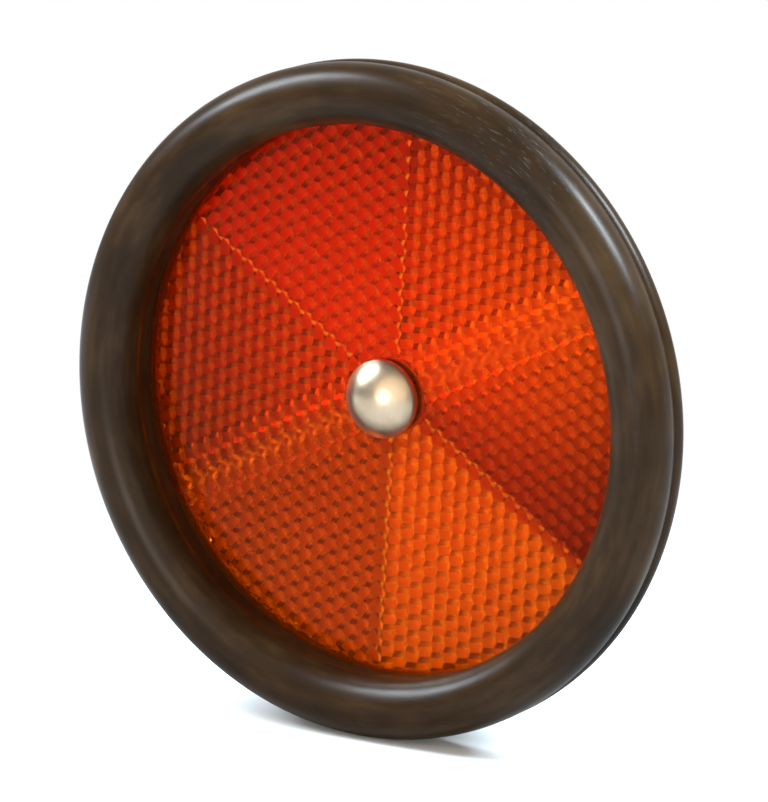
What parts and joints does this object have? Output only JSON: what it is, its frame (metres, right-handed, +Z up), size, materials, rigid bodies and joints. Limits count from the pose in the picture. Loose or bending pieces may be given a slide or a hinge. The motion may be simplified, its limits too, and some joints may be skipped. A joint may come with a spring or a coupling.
{
  "type": "round reflector",
  "caption": "Round amber prism reflector recessed in a thick rolled rubber surround, held by a domed bolt whose threaded end fixes it to a bracket or guard.",
  "frame": {"origin": "on the reflector's axis, in the plane of the rubber surround's rear face, where the stud leaves it", "axes": "+Z up, the lens faces -Y, +Y along the axis out of the back, +X to the right as seen from the front"},
  "size_m": [0.081, 0.0272, 0.081],
  "materials": {
    "rubber": "satin, moulded, lightly scuffed",
    "amber_lens": "polished amber acrylic",
    "back_plastic": "pale, fine moulded grain",
    "plated_bolt": "bright nickel plate",
    "zinc": "bright zinc plate"
  },
  "bodies": {
    "root": {"rubber_ring": "rubber", "lens": "amber_lens", "back_plate": "back_plastic", "bolt": "plated_bolt", "washer": "zinc", "nut": "zinc"}
  },
  "joints": []
}
